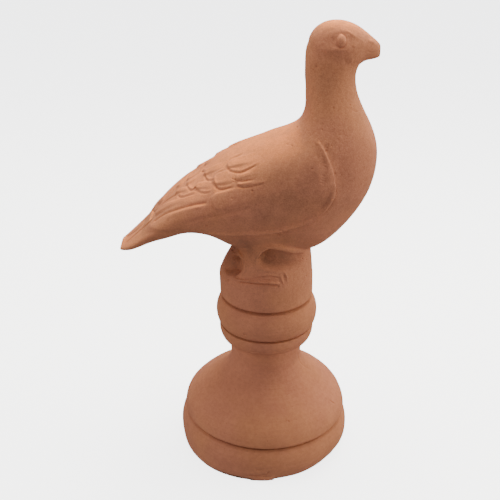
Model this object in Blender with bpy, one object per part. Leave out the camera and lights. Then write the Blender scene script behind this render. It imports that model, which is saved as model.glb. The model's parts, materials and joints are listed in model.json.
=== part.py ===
"""Ridge finial in fired terracotta: a dove perched on a turned, bell-footed pedestal.

It stands on z = 0, the dove looks along +X, and the origin is under the middle of its box.
The finial is one piece of clay, open below where its bell is hollowed out.
"""

import math

import bmesh
import bpy
import numpy as np

MM = 0.001

# Turned pedestal, from the foot up: the radius and the height of each member
FOOT_RADIUS = 79 * MM
FOOT_HEIGHT = 33 * MM
FOOT_ROUNDING = 6 * MM
BELL_RADIUS = 76 * MM
BELL_HEIGHT = 58 * MM
WAIST_RADIUS = 32 * MM
WAIST_HEIGHT = 18 * MM
ECHINUS_RADIUS = 42 * MM
ECHINUS_HEIGHT = 18 * MM
TORUS_RADIUS = 45.8 * MM
TORUS_HEIGHT = 30 * MM
DRUM_RADIUS = 41.7 * MM
DRUM_HEIGHT = 43 * MM
DRUM_ROUNDING = 19 * MM
DRUM_TOP_RADIUS = 24 * MM
CREASE_DEPTH = 3.5 * MM
CREASE_WIDTH = 4 * MM

# The hollow turned out of the foot and bell, open below
WALL = 12 * MM
HOLLOW_HEIGHT = 66 * MM

# The dove, from the tip of its tail to its breast, and the relief carved on it
DOVE_LENGTH = 216 * MM
WING_RELIEF = 2.4 * MM
FEATHER_RELIEF = 1.3 * MM
GROOVE_DEPTH = 1.5 * MM
EYE_RELIEF = 1.6 * MM
TOE_RADIUS = 3 * MM

# How finely the form is cut
TURNED_SEGMENTS = 48
RING_SEGMENTS = 36
VOXEL = 1.3 * MM
DOVE_FACES = 5300

TERRACOTTA = (0.50, 0.22, 0.12)

# Side view of the dove, in per cent of its length from the middle of the drum's top:
# back x, back z, belly x, belly z, half width
BODY = [
    (-59.4, 2.3, -57.9, -0.7, 5.2),
    (-56.0, 5.2, -53.2, 1.1, 8.8),
    (-49.0, 10.6, -45.5, 5.5, 12.0),
    (-43.6, 16.8, -37.9, 8.6, 14.6),
    (-37.0, 26.2, -28.5, 9.9, 17.6),
    (-26.3, 34.0, -20.0, 5.4, 20.4),
    (-13.6, 42.8, -8.5, 0.5, 21.8),
    (-0.3, 48.8, 3.9, 0.0, 22.6),
    (10.2, 52.8, 17.6, 1.4, 22.4),
    (12.8, 56.4, 29.5, 11.6, 20.8),
    (13.8, 60.6, 39.3, 26.1, 18.1),
    (13.6, 64.8, 42.0, 40.6, 15.3),
    (13.4, 68.5, 40.1, 50.0, 13.0),
    (13.2, 71.3, 35.9, 59.3, 10.9),
    (13.1, 74.1, 32.8, 66.2, 9.3),
    (13.0, 77.3, 31.7, 72.2, 8.6),
    (13.0, 81.0, 31.8, 76.9, 8.3),
]
HEAD = [
    (13.7, 84.5, 13.7, 79.8, 2.8),
    (14.8, 86.7, 14.8, 76.9, 5.1),
    (17.5, 90.3, 17.5, 74.1, 7.2),
    (20.8, 92.1, 20.8, 72.7, 8.3),
    (25.0, 92.6, 25.0, 72.2, 8.7),
    (28.8, 92.0, 28.8, 72.7, 8.3),
    (31.8, 90.6, 31.8, 74.3, 7.2),
    (34.5, 88.7, 34.5, 77.4, 5.4),
    (37.1, 86.7, 37.1, 79.1, 3.8),
    (39.2, 84.9, 39.2, 79.8, 2.7),
    (40.3, 83.5, 40.3, 80.3, 1.7),
]

# The clay that beds the belly on the drum, from the drum up:
# front x, z, back x, z again, half width
BED = [
    (18.8, -8.0, -14.0, -8.0, 12.0),
    (19.1, -4.0, -14.5, -4.0, 11.5),
    (18.6, 0.0, -15.5, 0.0, 11.5),
    (17.0, 4.0, -16.0, 4.0, 12.5),
    (14.0, 9.0, -14.0, 9.0, 13.0),
]

# How near the pedestal's axis the clay behind a leg reaches, as a share of the drum's radius
LEG_ROOT = 0.35

# The leg, from inside the belly down to the foot on the drum's shoulder:
# centre x, centre z, half width along x, depth of its rounded face, inset from the drum's side
LEG = [
    (-3.5, 18.0, 9.5, 7.0, 5.6),
    (-4.2, 11.5, 7.6, 6.0, 4.4),
    (-5.6, 7.2, 5.2, 4.6, 3.4),
    (-7.2, 3.6, 2.7, 3.2, 2.4),
    (-7.4, 0.0, 2.3, 2.8, 2.0),
    (-7.4, -3.4, 2.6, 2.9, 1.6),
    (-7.6, -6.4, 3.6, 2.6, 1.4),
]

# The foot's toes round the drum: x of the heel and of the claw, and height
TOES = [(-11.8, 4.6, -6.6), (-9.0, 5.4, -4.9)]

# The raised edge of the folded wing, from the shoulder round to its tip
WING_EDGE = [
    (14.0, 58.0),
    (17.5, 51.7),
    (21.3, 45.6),
    (23.7, 38.3),
    (23.4, 32.1),
    (19.4, 25.9),
    (13.1, 21.7),
    (4.5, 18.6),
    (-6.8, 16.9),
    (-20.0, 16.8),
    (-32.8, 16.8),
    (-39.0, 16.2),
    (-44.8, 14.9),
]
LONG_GROOVES = [
    [(-21.8, 28.0), (-27.7, 26.1), (-33.2, 24.1), (-37.6, 21.7), (-41.0, 18.7), (-44.5, 15.2)],
    [(-3.9, 28.4), (-10.6, 26.1), (-21.9, 22.3), (-29.6, 19.6), (-34.5, 17.8)],
]

# Covert feathers, the lowest laid first: x and z of the tip, length, half width, slope in degrees
FEATHERS = [
    (-34.9, 27.3, 10.0, 1.5, 27),
    (-31.8, 30.2, 9.0, 1.7, 33),
    (-28.2, 30.2, 10.0, 2.0, 28),
    (-21.8, 29.6, 17.0, 2.3, 16),
    (-24.5, 34.9, 10.0, 1.9, 33),
    (-21.2, 34.2, 11.0, 2.6, 20),
    (-12.1, 34.6, 13.0, 1.1, 11),
    (-12.4, 37.0, 9.0, 1.7, 17),
    (-15.7, 39.3, 13.0, 2.3, 21),
]
EYE = (25.0, 86.9)
EYE_RADIUS = 2.2

# Heights that follow from the members below them
WAIST_Z = FOOT_HEIGHT + BELL_HEIGHT
ECHINUS_Z = WAIST_Z + WAIST_HEIGHT
TORUS_Z = ECHINUS_Z + ECHINUS_HEIGHT
DRUM_Z = TORUS_Z + TORUS_HEIGHT
PERCH_Z = DRUM_Z + DRUM_HEIGHT
SHARE = DOVE_LENGTH / 100


def swell(radius, low, high, bulge, steps, squareness):
    """A rounded member between two creases at one radius."""
    points = []
    for i in range(steps + 1):
        t = i / steps
        points.append((radius + bulge * math.sin(math.pi * t) ** squareness, low + (high - low) * t))
    return points


def bezier(start, pull_start, pull_end, end, steps):
    """A cubic curve in the (radius, height) plane."""
    points = []
    for i in range(steps + 1):
        t = i / steps
        s = 1 - t
        weights = (s**3, 3 * s * s * t, 3 * s * t * t, t**3)
        corners = (start, pull_start, pull_end, end)
        points.append(tuple(sum(w * c[axis] for w, c in zip(weights, corners)) for axis in (0, 1)))
    return points


def pedestal_profile():
    """Outline of the pedestal from its underside to the rounded top of its drum."""
    foot = swell(FOOT_RADIUS - FOOT_ROUNDING, 0, FOOT_HEIGHT, FOOT_ROUNDING, 7, 0.6)
    bell = bezier(
        (BELL_RADIUS, FOOT_HEIGHT + CREASE_WIDTH),
        (BELL_RADIUS, FOOT_HEIGHT + 0.43 * BELL_HEIGHT),
        (WAIST_RADIUS, FOOT_HEIGHT + 0.55 * BELL_HEIGHT),
        (WAIST_RADIUS, WAIST_Z + CREASE_WIDTH),
        10,
    )
    crease = TORUS_RADIUS - CREASE_DEPTH
    echinus = bezier(
        (WAIST_RADIUS + 0.25 * CREASE_WIDTH, ECHINUS_Z),
        (ECHINUS_RADIUS, ECHINUS_Z + 0.1 * ECHINUS_HEIGHT),
        (ECHINUS_RADIUS + 0.25 * CREASE_WIDTH, ECHINUS_Z + 0.5 * ECHINUS_HEIGHT),
        (crease - 0.25 * CREASE_WIDTH, TORUS_Z),
        4,
    )
    torus = swell(crease, TORUS_Z + 0.125 * CREASE_WIDTH, DRUM_Z, CREASE_DEPTH, 5, 0.75)
    shoulder_z = PERCH_Z - DRUM_ROUNDING
    drum = [(DRUM_RADIUS, DRUM_Z + 0.5 * CREASE_WIDTH), (DRUM_RADIUS, shoulder_z)]
    drum += bezier(
        (DRUM_RADIUS, shoulder_z),
        (DRUM_RADIUS, PERCH_Z - 0.4 * DRUM_ROUNDING),
        (0.5 * (DRUM_TOP_RADIUS + DRUM_RADIUS), PERCH_Z),
        (DRUM_TOP_RADIUS, PERCH_Z),
        5,
    )[1:]
    return foot + bell + echinus + torus + drum


def hollow_profile():
    """Outline of the hollow, from below the underside to its domed top, one wall inside the foot's crease."""
    inside = FOOT_RADIUS - FOOT_ROUNDING - WALL
    start = (inside, FOOT_HEIGHT)
    dome = bezier(start, (inside, 0.85 * HOLLOW_HEIGHT), (0.4 * inside, HOLLOW_HEIGHT), (0, HOLLOW_HEIGHT), 7)
    return [(inside, -WALL), *dome]


def new_object(name, bm):
    """Put a bmesh into the scene as an object."""
    mesh = bpy.data.meshes.new(name)
    bm.to_mesh(mesh)
    bm.free()
    thing = bpy.data.objects.new(name, mesh)
    bpy.context.collection.objects.link(thing)
    return thing


def turn(name, profile):
    """Turn an outline about the Z axis and close its ends on the axis."""
    bm = bmesh.new()
    ends = [(0, profile[0][1]), (0, profile[-1][1])]
    outline = [ends[0], *profile, ends[1]]
    line = [bm.verts.new((radius, 0, height)) for radius, height in outline]
    edges = [bm.edges.new(pair) for pair in zip(line, line[1:])]
    bmesh.ops.spin(
        bm,
        geom=line + edges,
        cent=(0, 0, 0),
        axis=(0, 0, 1),
        angle=2 * math.pi,
        steps=TURNED_SEGMENTS,
        use_merge=True,
    )
    bmesh.ops.remove_doubles(bm, verts=bm.verts, dist=0.01 * MM)
    bmesh.ops.dissolve_degenerate(bm, edges=bm.edges, dist=0.01 * MM)
    bmesh.ops.recalc_face_normals(bm, faces=bm.faces)
    return new_object(name, bm)


def smooth_rows(rows, between):
    """More rows between the given ones, on a smooth curve through them."""
    rows = np.array(rows, float)
    padded = np.vstack([2 * rows[0] - rows[1], rows, 2 * rows[-1] - rows[-2]])
    result = []
    for p0, p1, p2, p3 in zip(padded, padded[1:], padded[2:], padded[3:]):
        for step in range(between):
            t = step / between
            bend = (2 * p0 - 5 * p1 + 4 * p2 - p3) * t**2 + (3 * p1 - p0 - 3 * p2 + p3) * t**3
            result.append(0.5 * (2 * p1 + (p2 - p0) * t + bend))
    result.append(rows[-1])
    return result


def skin(name, rings):
    """A closed skin over a row of rings, each a list of points."""
    bm = bmesh.new()
    loops = []
    for points in rings:
        circle = bmesh.ops.create_circle(bm, segments=len(points), radius=1)["verts"]
        for vert, point in zip(circle, points):
            vert.co = point
        loops.append([edge for edge in bm.edges if edge.verts[0] in circle])
    for lower, upper in zip(loops, loops[1:]):
        bmesh.ops.bridge_loops(bm, edges=lower + upper)
    bmesh.ops.holes_fill(bm, edges=[edge for edge in bm.edges if edge.is_boundary], sides=0)
    bmesh.ops.recalc_face_normals(bm, faces=bm.faces)
    return new_object(name, bm)


def round_angles():
    """The angles of the points round a ring."""
    return [2 * math.pi * i / RING_SEGMENTS for i in range(RING_SEGMENTS)]


def flattened(value, power):
    """A sine or cosine drawn out towards a square corner."""
    return math.copysign(abs(value) ** (2 / power), value)


def dove_rings(stations):
    """Rings hung between the back and the belly, oval at the breast and flatter at the tail."""
    rings = []
    for back_x, back_z, belly_x, belly_z, half_width in smooth_rows(stations, 3):
        power = 2.1 + 0.9 * min(max((-25 - back_x) / 20, 0), 1)
        ring = []
        for angle in round_angles():
            up = flattened(math.cos(angle), power)
            side = flattened(math.sin(angle), power)
            x = 0.5 * (back_x + belly_x + (back_x - belly_x) * up)
            z = 0.5 * (back_z + belly_z + (back_z - belly_z) * up)
            ring.append((x * SHARE, half_width * side * SHARE, PERCH_Z + z * SHARE))
        rings.append(ring)
    return rings


def leg_rings(side):
    """Rings of one leg, from the thigh inside the belly down to the drum's shoulder, backed by clay."""
    rings = []
    for x, z, half_x, half_y, inset in smooth_rows(LEG, 3):
        face = half_y * SHARE
        middle = DRUM_RADIUS - inset * SHARE - face
        root = middle - LEG_ROOT * DRUM_RADIUS
        ring = []
        for angle in round_angles():
            out = math.sin(angle)
            ring.append((
                (x + half_x * math.cos(angle)) * SHARE,
                side * (middle + out * (face if out > 0 else root)),
                PERCH_Z + z * SHARE,
            ))
        rings.append(ring)
    return rings


def drum_radius_at(height):
    """Radius of the drum's side or rounded shoulder at a height above the foot."""
    radii, heights = zip(*[point for point in pedestal_profile() if point[1] > DRUM_Z])
    return float(np.interp(height, heights, radii))


def toe_rings(side, heel, claw, z):
    """Rings of one toe, which follows the drum's side and tapers to its claw."""
    height = PERCH_Z + z * SHARE
    radius = drum_radius_at(height)
    rings = []
    steps = 14
    for i in range(steps + 1):
        t = i / steps
        x = (heel + (claw - heel) * t) * SHARE
        turn_angle = math.asin(x / radius)
        thick = TOE_RADIUS * math.sin(math.pi * (0.06 + 0.88 * t)) ** 0.5
        ring = []
        for angle in round_angles()[::3]:
            out = radius + 0.3 * TOE_RADIUS + thick * math.cos(angle)
            ring.append((
                out * math.sin(turn_angle),
                side * out * math.cos(turn_angle),
                height + 0.8 * thick * math.sin(angle),
            ))
        rings.append(ring)
    return rings


def join(name, things):
    """One object from several that overlap, their skins not yet fused."""
    bm = bmesh.new()
    for thing in things:
        bm.from_mesh(thing.data)
        bpy.data.objects.remove(thing)
    return new_object(name, bm)


def bake(thing):
    """Keep an object's modified mesh and drop the modifiers."""
    graph = bpy.context.evaluated_depsgraph_get()
    mesh = bpy.data.meshes.new_from_object(thing.evaluated_get(graph))
    thing.modifiers.clear()
    thing.data = mesh


def ramp(values):
    """A smooth step from 0 to 1."""
    t = np.clip(values, 0, 1)
    return t * t * (3 - 2 * t)


def distance_to(x, z, line):
    """Distance from side-view points to an open line, and which side of it they are on."""
    nearest = np.full(len(x), np.inf)
    side = np.zeros(len(x))
    for (x0, z0), (x1, z1) in zip(line, line[1:]):
        dx = x1 - x0
        dz = z1 - z0
        along = np.clip(((x - x0) * dx + (z - z0) * dz) / (dx * dx + dz * dz), 0, 1)
        gap = np.hypot(x - x0 - along * dx, z - z0 - along * dz)
        closer = gap < nearest
        nearest[closer] = gap[closer]
        side[closer] = np.sign(dx * (z - z0) - dz * (x - x0))[closer]
    return nearest, side


def groove(x, z, line, width):
    """Depth, from 0 to 1, of a cut that fades in at both ends."""
    gap, _ = distance_to(x, z, line)
    start = np.hypot(x - line[0][0], z - line[0][1])
    return np.exp(-((gap / width) ** 2)) * (0.3 + 0.7 * ramp(start / 5))


def wing_height(x, z):
    """Raised plate of the folded wing, highest at its lower edge and lost at the shoulder."""
    edge = [tuple(point) for point in smooth_rows(WING_EDGE, 4)]
    gap, side = distance_to(x, z, edge)
    inside = np.where(side < 0, gap, -gap)
    rounded = ramp((inside + 0.5) / 1.9)
    fade = 1 - ramp((z - 42) / 12) * ramp((x + 2) / 10)
    return rounded * (0.45 + 0.55 * np.exp(-np.clip(inside, 0, None) / 7)) * fade


def feather_height(x, z):
    """Covert feathers, each rising to its round tip and laid over the ones before it."""
    height = np.zeros(len(x))
    for tip_x, tip_z, length, half_width, slope in FEATHERS:
        along_x = math.cos(math.radians(slope))
        along_z = math.sin(math.radians(slope))
        u = (x - tip_x) * along_x + (z - tip_z) * along_z
        v = (z - tip_z) * along_x - (x - tip_x) * along_z
        core = np.clip(u, half_width, length)
        inside = half_width - np.hypot(u - core, v)
        fade = 1 - ramp(u / length)
        lift = ramp((inside + 0.2) / 0.9) * fade
        cut = 0.9 * np.exp(-(((inside + 0.35) / 0.45) ** 2)) * fade
        height = np.where(inside > 0, np.maximum(height * 0.5, lift), height) - np.where(inside <= 0.2, cut, 0)
    return height


def face_height(x, z):
    """Eye, its socket before and behind, and the line of the beak."""
    eye_x, eye_z = EYE
    across = (x - eye_x) / EYE_RADIUS
    up = (z - eye_z) / EYE_RADIUS
    ball = np.sqrt(np.clip(1 - across**2 - up**2, 0, None))
    socket = np.exp(-((x - eye_x - 3.6) ** 2 + (z - eye_z) ** 2) / 3.5)
    socket += 0.8 * np.exp(-((x - eye_x + 4.2) ** 2 + (z - eye_z) ** 2) / 6)
    lid = np.exp(-(((np.hypot(across, up) - 1.2) / 0.22) ** 2))
    mouth = np.exp(-(((z - 81.9) / 0.5) ** 2)) * ramp((x - 32) / 3)
    cere = np.exp(-(((x - 34.6 + 0.25 * (z - 84)) / 0.7) ** 2)) * ramp((z - 82.4) / 1)
    return ball + 0.25 * lid - 0.8 * socket - 0.45 * mouth + 0.2 * cere


def carve(thing):
    """Push the skin of the dove out and in along its normals to carve it."""
    mesh = thing.data
    count = len(mesh.vertices)
    places = np.empty(count * 3)
    normals = np.empty(count * 3)
    mesh.vertices.foreach_get("co", places)
    mesh.vertex_normals.foreach_get("vector", normals)
    places = places.reshape(-1, 3)
    normals = normals.reshape(-1, 3)
    x = places[:, 0] / SHARE
    y = places[:, 1] / SHARE
    z = (places[:, 2] - PERCH_Z) / SHARE
    height = WING_RELIEF * wing_height(x, z)
    coverts = ramp((np.abs(y) - 3) / 3)
    height += FEATHER_RELIEF * feather_height(x, z) * coverts
    for line in LONG_GROOVES:
        height -= GROOVE_DEPTH * groove(x, z, line, 0.8) * coverts
    on_top = ramp((normals[:, 2] - 0.1) / 0.4)
    back_line = np.exp(-((y / 1.0) ** 2)) * ramp((-30 - x) / 8) * on_top
    height -= GROOVE_DEPTH * back_line
    height += EYE_RELIEF * np.where(z > 70, face_height(x, z), 0) * ramp((np.abs(y) - 1) / 3)
    places += normals * height[:, None]
    mesh.vertices.foreach_set("co", places.ravel())
    mesh.update()


def fired_clay():
    """Matt orange-brown terracotta."""
    clay = bpy.data.materials.new("terracotta")
    clay.use_nodes = True
    shader = clay.node_tree.nodes["Principled BSDF"]
    shader.inputs["Base Color"].default_value = (*TERRACOTTA, 1)
    shader.inputs["Roughness"].default_value = 0.9
    shader.inputs["Metallic"].default_value = 0
    return clay


def tool(thing):
    """Mark an object as one that only shapes another."""
    thing.hide_render = True
    thing.display_type = "WIRE"


def make_dove():
    """The dove with its legs and toes, fused, carved and thinned to its main facets."""
    pieces = [skin("body", dove_rings(BODY)), skin("head", dove_rings(HEAD)), skin("bed", dove_rings(BED))]
    for side in (-1, 1):
        pieces.append(skin("leg", leg_rings(side)))
        for heel, claw, z in TOES:
            pieces.append(skin("toe", toe_rings(side, heel, claw, z)))
    dove = join("dove_finial", pieces)
    fuse = dove.modifiers.new("Fuse", "REMESH")
    fuse.mode = "VOXEL"
    fuse.voxel_size = VOXEL
    soften = dove.modifiers.new("Soften", "SMOOTH")
    soften.factor = 0.5
    soften.iterations = 4
    bake(dove)
    carve(dove)
    thin = dove.modifiers.new("Thin", "DECIMATE")
    thin.ratio = DOVE_FACES / (2 * len(dove.data.polygons))
    bake(dove)
    return dove


def centre(thing):
    """Set the object so that the origin lies under the middle of its box."""
    bm = bmesh.new()
    bm.from_mesh(thing.data)
    ends = [vert.co.x for vert in bm.verts]
    bmesh.ops.translate(bm, verts=bm.verts, vec=(-0.5 * (min(ends) + max(ends)), 0, 0))
    bm.to_mesh(thing.data)
    bm.free()


def main():
    for thing in list(bpy.data.objects):
        bpy.data.objects.remove(thing)
    finial = make_dove()
    pedestal = turn("pedestal_tool", pedestal_profile())
    hollow = turn("hollow_tool", hollow_profile())
    for thing, operation in ((pedestal, "UNION"), (hollow, "DIFFERENCE")):
        tool(thing)
        cut = finial.modifiers.new(thing.name, "BOOLEAN")
        cut.operation = operation
        cut.solver = "EXACT"
        cut.object = thing
    bake(finial)
    centre(finial)
    finial.data.materials.clear()
    finial.data.materials.append(fired_clay())
    finial.data.shade_smooth()
    finial.data.set_sharp_from_angle(angle=math.radians(40))


main()
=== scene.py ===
# %% [markdown]
# # A dove on a turned pedestal: a ridge finial in terracotta
#
# This finial stood, or was meant to stand, at the end of a tiled ridge. It is one
# piece of fired clay. A dove sits on a drum, the drum stands on a rounded ring, a
# narrow waist and a bell, and the bell ends in a thick foot that is hollow below.
#
# The measured solid is loaded first, as a frame that never moves. The lesson then
# builds the same form again, finely enough for the carving to show, and gives it
# the skin of dry clay. Lengths are in metres, +Z is up, and the dove looks along +X.

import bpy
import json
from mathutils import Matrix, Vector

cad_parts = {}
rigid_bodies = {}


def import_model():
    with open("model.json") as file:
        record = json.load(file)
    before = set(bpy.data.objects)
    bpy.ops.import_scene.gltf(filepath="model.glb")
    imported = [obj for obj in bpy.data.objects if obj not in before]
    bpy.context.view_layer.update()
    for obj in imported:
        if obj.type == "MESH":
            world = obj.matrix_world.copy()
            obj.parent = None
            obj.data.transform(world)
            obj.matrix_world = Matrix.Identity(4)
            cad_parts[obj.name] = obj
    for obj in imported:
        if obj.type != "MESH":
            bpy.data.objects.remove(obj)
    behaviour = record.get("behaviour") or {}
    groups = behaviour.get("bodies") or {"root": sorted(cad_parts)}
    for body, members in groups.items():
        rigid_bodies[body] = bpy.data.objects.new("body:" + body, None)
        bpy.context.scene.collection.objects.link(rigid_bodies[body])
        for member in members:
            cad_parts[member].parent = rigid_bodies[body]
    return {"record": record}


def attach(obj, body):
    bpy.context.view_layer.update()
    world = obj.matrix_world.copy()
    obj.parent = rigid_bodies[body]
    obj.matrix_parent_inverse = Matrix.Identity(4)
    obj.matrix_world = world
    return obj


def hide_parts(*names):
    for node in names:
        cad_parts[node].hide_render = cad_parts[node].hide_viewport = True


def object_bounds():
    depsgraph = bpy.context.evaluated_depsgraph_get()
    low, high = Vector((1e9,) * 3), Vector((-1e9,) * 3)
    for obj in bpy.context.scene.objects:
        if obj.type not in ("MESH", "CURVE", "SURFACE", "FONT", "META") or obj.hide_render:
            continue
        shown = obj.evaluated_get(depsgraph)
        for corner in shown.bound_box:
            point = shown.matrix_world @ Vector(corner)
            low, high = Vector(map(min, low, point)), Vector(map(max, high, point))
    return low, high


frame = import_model()
cad_low, cad_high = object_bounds()
print("solid from", [round(v, 4) for v in cad_low], "to", [round(v, 4) for v in cad_high])

# %% [markdown]
# ## Modules and the pedestal's axis
#
# Everything is measured from the pedestal's axis. The solid's origin lies under the
# middle of its box, so the axis stands a little forward of it. The record gives one
# point in the middle of the flat ring underneath, which is all that is needed.

# %% Modules, units and the axis
import json
import math
import random

import bmesh
import bpy
import numpy as np
from mathutils import Matrix, Vector, noise
from mathutils.bvhtree import BVHTree

MM = 0.001
FOOT_RADIUS = 79 * MM
FOOT_ROUNDING = 6 * MM
WALL = 12 * MM
AXIS_X = frame["record"]["mounts"][0]["pos_m"][0] - (FOOT_RADIUS - FOOT_ROUNDING - 0.5 * WALL)
print("pedestal axis at x =", round(AXIS_X, 4))

# %% [markdown]
# ## The camera
#
# The turned creases are circles, so the ellipses they make in a picture tell how high
# the eye stands and how far away it is. Here it looks down by a little over 27
# degrees from about 0.8 m, turned by half a degree to level the foot.

# %% Camera
EYE_PITCH = math.radians(27.23)
EYE_ROLL = math.radians(-0.55)
EYE_DISTANCE = 795.85 * MM
AIM_HEIGHT = 197.2 * MM
EYE_LEFT = 14.5 * MM
EYE_LENS = 64.8

eye_back = Vector((0, -math.cos(EYE_PITCH), math.sin(EYE_PITCH)))
eye_up = Vector((0, math.sin(EYE_PITCH), math.cos(EYE_PITCH)))
eye_right = Vector((1, 0, 0))
rolled_right = math.cos(EYE_ROLL) * eye_right - math.sin(EYE_ROLL) * eye_up
rolled_up = math.sin(EYE_ROLL) * eye_right + math.cos(EYE_ROLL) * eye_up

eye_data = bpy.data.cameras.new("eye")
eye_data.lens = EYE_LENS
eye = bpy.data.objects.new("eye", eye_data)
eye.matrix_world = Matrix.Translation(
    Vector((AXIS_X - EYE_LEFT, 0, AIM_HEIGHT)) + EYE_DISTANCE * eye_back
) @ Matrix((rolled_right, rolled_up, eye_back)).transposed().to_4x4()
bpy.context.scene.collection.objects.link(eye)
bpy.context.scene.camera = eye
print("eye at", [round(v, 3) for v in eye.matrix_world.translation])

# %% [markdown]
# ## Floor and backdrop
#
# A pale floor and a pale dome behind it, as in a product studio. Both glow a little,
# which keeps them near white, and only the eye sees that. Neither throws light on the
# clay: a white floor so near would fill every shadow under the belly.

# %% Floor and backdrop
STAGE_RADIUS = 6
FLOOR_GLOW = 3.6
BACKDROP_GLOW = 4.5
FLOOR_COLOUR = (0.86, 0.86, 0.86)
BACKDROP_COLOUR = (0, 0, 0)
GLOW_COLOUR = (1, 1, 1, 1)
STAGE_ROUGHNESS = 0.9
ROUND_SEGMENTS = 96


def plain_finish(name, colour, glow):
    """A plain finish for the stage."""
    finish = bpy.data.materials.new(name)
    finish.use_nodes = True
    shader = finish.node_tree.nodes["Principled BSDF"]
    shader.inputs["Base Color"].default_value = (*colour, 1)
    shader.inputs["Roughness"].default_value = STAGE_ROUGHNESS
    shader.inputs["Emission Color"].default_value = GLOW_COLOUR
    shader.inputs["Emission Strength"].default_value = glow
    return finish


def new_object(name, bm):
    """Put a bmesh into the scene as an object."""
    mesh = bpy.data.meshes.new(name)
    bm.to_mesh(mesh)
    bm.free()
    thing = bpy.data.objects.new(name, mesh)
    bpy.context.scene.collection.objects.link(thing)
    return thing


def stage_piece(name, bm, finish):
    """A part of the stage, which shows and throws no light."""
    piece = new_object(name, bm)
    piece.data.materials.append(finish)
    piece.data.shade_smooth()
    piece.visible_diffuse = False
    piece.visible_glossy = False
    return piece


floor_bm = bmesh.new()
bmesh.ops.create_circle(floor_bm, cap_ends=True, segments=ROUND_SEGMENTS, radius=STAGE_RADIUS)
stage_piece("floor", floor_bm, plain_finish("pale_floor", FLOOR_COLOUR, FLOOR_GLOW))

dome_bm = bmesh.new()
bmesh.ops.create_uvsphere(
    dome_bm, u_segments=ROUND_SEGMENTS, v_segments=ROUND_SEGMENTS // 2, radius=STAGE_RADIUS
)
whole_dome = dome_bm.verts[:] + dome_bm.edges[:] + dome_bm.faces[:]
bmesh.ops.bisect_plane(dome_bm, geom=whole_dome, plane_co=(0, 0, 0), plane_no=(0, 0, -1), clear_outer=True)
backdrop = stage_piece("backdrop", dome_bm, plain_finish("pale_backdrop", BACKDROP_COLOUR, BACKDROP_GLOW))
backdrop.visible_shadow = False
print("stage", 2 * STAGE_RADIUS, "m across")

# %% [markdown]
# ## Light
#
# Matt clay is drawn by soft light alone. The strongest panel hangs overhead, a little
# behind and near, so the crown and the back are bright and the flank falls into half
# tone. Low panels stand further off at the right, the left and the front and turn the
# round forms, and the air itself gives a weak even light.

# %% Soft panels
NEAR = (0.8, 0.5)
FAR = (1.6, 0.9)
LAMP_COLOUR = (1, 0.975, 0.86)
AIR_COLOUR = (0.94, 0.98, 1.16, 1)
AIR_STRENGTH = 0.41
LIT_POINT = Vector((AXIS_X, 0, 0.22))

# Name, height above the horizon and bearing from +X in degrees, distance and side in metres, watts
PANELS = [
    ("overhead_behind", 70, 90, *NEAR, 7.2),
    ("overhead", 88, 90, *NEAR, 2.4),
    ("high_right_behind", 50, 45, *NEAR, 4.0),
    ("high_right", 50, 0, *NEAR, 1.4),
    ("low_right", 10, 0, *FAR, 18),
    ("low_left", 10, 180, *FAR, 12),
    ("low_front", 10, 285, *FAR, 5),
]


def soft_panel(name, height, bearing, distance, side, watts):
    """A square lamp turned towards the dove."""
    lamp = bpy.data.lights.new(name, "AREA")
    lamp.size = side
    lamp.energy = watts
    lamp.color = LAMP_COLOUR
    level = math.cos(math.radians(height))
    towards = Vector((
        level * math.cos(math.radians(bearing)),
        level * math.sin(math.radians(bearing)),
        math.sin(math.radians(height)),
    ))
    panel = bpy.data.objects.new(name, lamp)
    panel.location = LIT_POINT + distance * towards
    panel.rotation_euler = towards.to_track_quat("Z", "Y").to_euler()
    panel.visible_camera = False
    bpy.context.scene.collection.objects.link(panel)


for panel in PANELS:
    soft_panel(*panel)

sky = bpy.data.worlds.new("studio")
sky.use_nodes = True
sky.node_tree.nodes["Background"].inputs["Color"].default_value = AIR_COLOUR
sky.node_tree.nodes["Background"].inputs["Strength"].default_value = AIR_STRENGTH
bpy.context.scene.world = sky
print(len(PANELS), "soft panels")

# %% [markdown]
# ## The turned outline
#
# A pedestal like this is thrown or turned: a template is held against wet clay on a
# wheel. Its outline is all that has to be drawn. Each member is a swelling between
# two creases, or one long curve, as the bell is.

# %% Curves for the outline
def swell(low, high, bulge, steps, squareness):
    """A rounded member between two creases, each a (radius, height)."""
    points = []
    for i in range(steps + 1):
        t = i / steps
        radius = low[0] + (high[0] - low[0]) * t + bulge * math.sin(math.pi * t) ** squareness
        points.append((radius, low[1] + (high[1] - low[1]) * t))
    return points


def bezier(start, pull_start, pull_end, end, steps):
    """A cubic curve in the (radius, height) plane."""
    points = []
    for i in range(steps + 1):
        t = i / steps
        s = 1 - t
        weights = (s**3, 3 * s * s * t, 3 * s * t * t, t**3)
        corners = (start, pull_start, pull_end, end)
        points.append(tuple(sum(w * c[axis] for w, c in zip(weights, corners)) for axis in (0, 1)))
    return points


print("half way up a bead 2 mm proud:", swell((10, 0), (10, 4), 2, 2, 1)[1])

# %% [markdown]
# ## The pedestal's members
#
# From below: the foot, the bell that sweeps up to the waist, a small swelling under
# the ring, the ring itself, and the drum with its round shoulder. The hollow under
# the foot belongs to the same outline, so one turn makes the outside and the inside.
#
# A crease is a narrow deep cut. It has to be as narrow as the dark line that it draws,
# about 2 mm, and deep enough that no light comes back out of it. Near a crease, heights
# are given in gaps and radii in cuts.

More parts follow.
